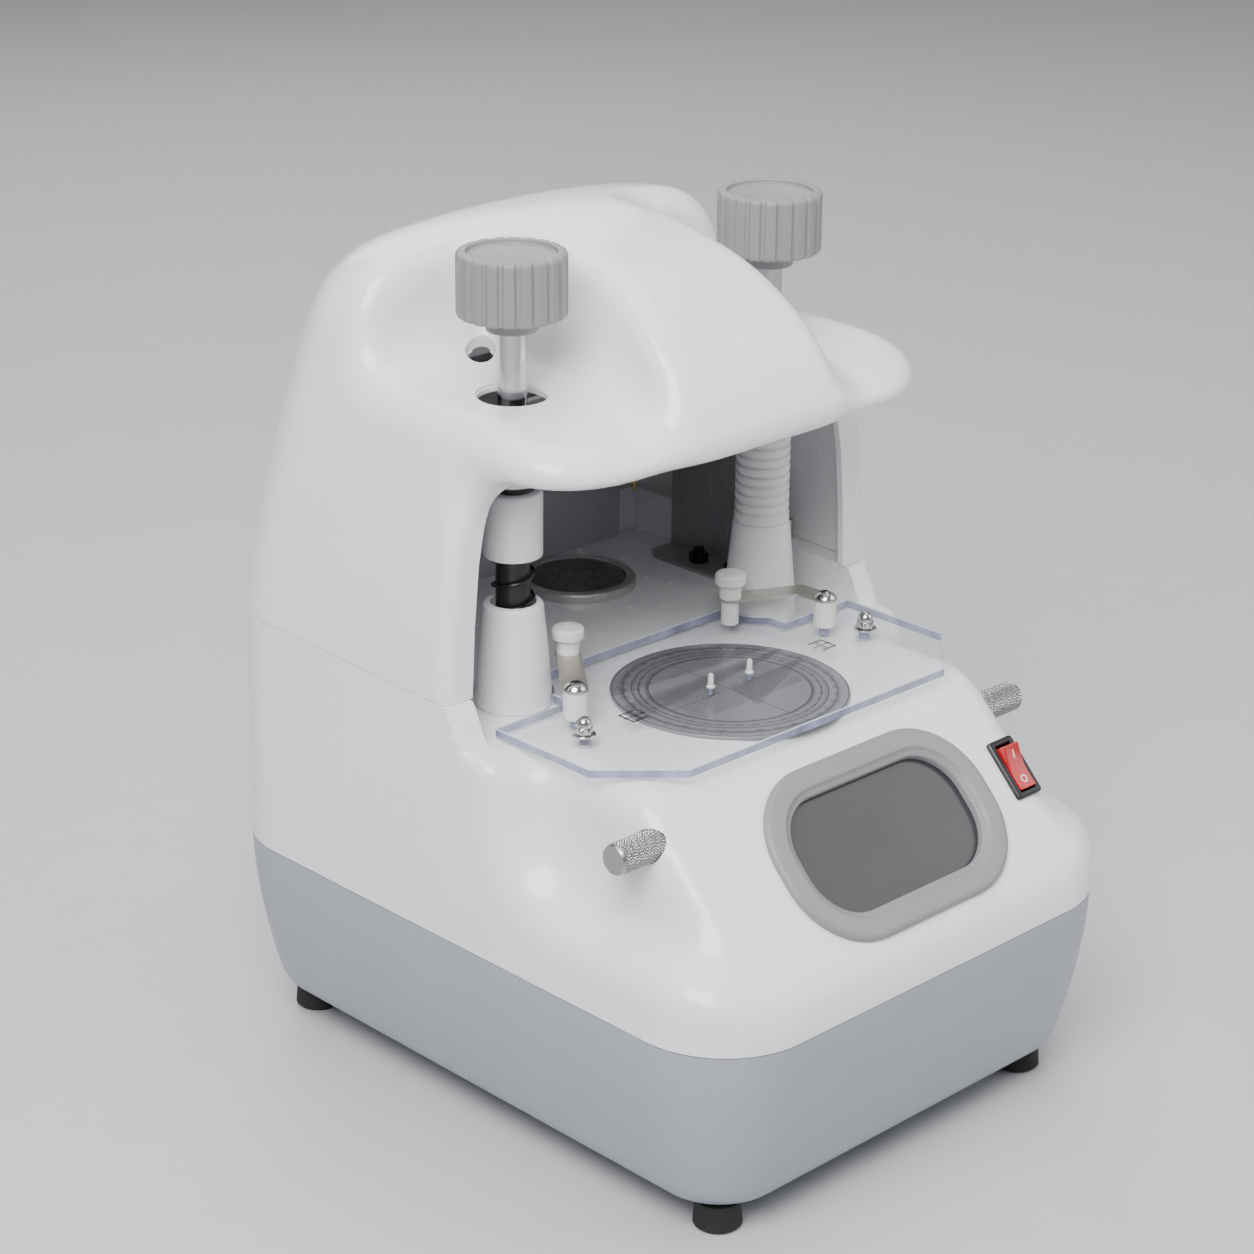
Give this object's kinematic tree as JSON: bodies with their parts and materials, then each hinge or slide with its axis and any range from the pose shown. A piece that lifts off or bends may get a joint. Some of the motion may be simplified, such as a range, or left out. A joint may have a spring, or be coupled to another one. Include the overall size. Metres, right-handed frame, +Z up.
{
  "type": "optical lens centring and blocking unit",
  "caption": "Desk-top lens layout blocker: hooded case, scaled clear plate, sloping viewing window, and two sprung columns with swing arms for marking and blocking.",
  "frame": {"origin": "on the table plane, in the middle of the case's width and depth", "axes": "+X the operator's right, -Y towards the operator, +Z up"},
  "size_m": [0.248, 0.313, 0.366],
  "materials": {
    "tub_paint": "satin blue-grey",
    "foot_rubber": "matt",
    "zinc_steel": "zinc-plated",
    "case_white": "glossy moulded",
    "bezel_grey": "satin",
    "window_glass": "dark, glossy",
    "switch_black": "satin",
    "rocker_red": "glossy",
    "socket_black": "moulded",
    "pin_brass": "plated",
    "board_green": "solder mask",
    "core_steel": "varnished laminations",
    "acrylic": "clear, polished",
    "scale_print": "printed film",
    "nylon": "off-white, satin",
    "nickel": "nickel-plated",
    "strip_steel": "brushed",
    "post_white": "semi-gloss",
    "core_black": "satin",
    "spring_black": "blackened",
    "chrome": "polished",
    "bellows_white": "soft, satin",
    "arm_alloy": "satin",
    "pad_rubber": "matt",
    "knob_grey": "satin",
    "tin_steel": "spun",
    "ink_felt": "inked",
    "sheet_steel": "brushed sheet",
    "bolt_black": "blackened",
    "panel_grey": "satin",
    "lamp_black": "anodised",
    "led_white": "board with emitter",
    "lens_glass": "polished",
    "bush_bronze": "sintered",
    "mirror": "front-silvered"
  },
  "bodies": {
    "base": {"bottom_tub": "tub_paint", "feet": "foot_rubber", "foot_screws": "zinc_steel", "case_screws": "zinc_steel", "lower_housing": "case_white", "hood": "case_white", "hood_screws": "zinc_steel", "window_bezel": "bezel_grey", "window_glass": "window_glass", "switch_body": "switch_black", "inlet_socket": "socket_black", "inlet_pins": "pin_brass", "driver_board": "board_green", "transformer": "core_steel", "scale_plate": "acrylic", "scale_disc": "scale_print", "lens_pins": "nylon", "plate_studs": "nickel", "plate_washers": "nickel", "acorn_nuts": "nickel", "clip_standoffs": "nylon", "clip_screws": "nickel", "posts": "post_white", "post_nuts": "zinc_steel", "ink_tin": "tin_steel", "ink_felt": "ink_felt", "side_frames": "sheet_steel", "frame_bolts": "bolt_black", "top_plate": "sheet_steel", "back_panel": "panel_grey", "lamp_housing": "lamp_black", "led_board": "led_white", "condenser_lens": "lens_glass", "shaft_bushes": "bush_bronze"},
    "rocker": {"switch_rocker": "rocker_red"},
    "mirror": {"cross_shaft": "zinc_steel", "side_knobs": "nickel", "mirror_frame": "sheet_steel", "mirror_glass": "mirror"},
    "left_turn": {"core_left": "core_black", "spring_left": "spring_black"},
    "left_press": {"shaft_left": "chrome", "knob_left": "knob_grey", "collar_left": "core_black", "sleeve_left": "post_white", "arm_left": "arm_alloy", "block_holder": "arm_alloy", "holder_pad": "pad_rubber"},
    "right_turn": {"core_right": "core_black", "spring_right": "spring_black", "bellows_right": "bellows_white"},
    "right_press": {"shaft_right": "chrome", "knob_right": "knob_grey", "arm_right": "arm_alloy", "marker_head": "arm_alloy", "marker_pins": "pin_brass"},
    "clip_left": {"strip_left": "strip_steel", "clip_knob_left": "nylon"},
    "clip_right": {"strip_right": "strip_steel", "clip_knob_right": "nylon"}
  },
  "joints": [
    {"name": "rocker_tilt", "type": "hinge", "parent": "base", "child": "rocker", "pos_m": [0.087, -0.11943, 0.14094], "axis": [1, 0, 0], "range_deg": [-20, 0]},
    {"name": "mirror_tilt", "type": "hinge", "parent": "base", "child": "mirror", "pos_m": [0, -0.091, 0.156], "axis": [1, 0, 0], "range_deg": [-4, 4]},
    {"name": "left_swing", "type": "hinge", "parent": "base", "child": "left_turn", "pos_m": [-0.073, 0.016, 0.2], "axis": [0, 0, 1], "range_deg": [-131.98, 0]},
    {"name": "left_press", "type": "slide", "parent": "left_turn", "child": "left_press", "axis": [0, 0, -1], "range_m": [0, 0.019], "stiffness_N_per_m": 400, "springref_m": -0.014, "deforming": ["spring_left"]},
    {"name": "right_swing", "type": "hinge", "parent": "base", "child": "right_turn", "pos_m": [0.073, 0.016, 0.2], "axis": [0, 0, 1], "range_deg": [0, 131.98]},
    {"name": "right_press", "type": "slide", "parent": "right_turn", "child": "right_press", "axis": [0, 0, -1], "range_m": [0, 0.029], "stiffness_N_per_m": 300, "springref_m": -0.016, "deforming": ["spring_right", "bellows_right"]},
    {"name": "clip_left_swing", "type": "hinge", "parent": "base", "child": "clip_left", "pos_m": [-0.074, -0.022, 0.193], "axis": [0, 0, 1], "range_deg": [-60, 0]},
    {"name": "clip_right_swing", "type": "hinge", "parent": "base", "child": "clip_right", "pos_m": [0.074, -0.022, 0.193], "axis": [0, 0, 1], "range_deg": [0, 60]}
  ]
}
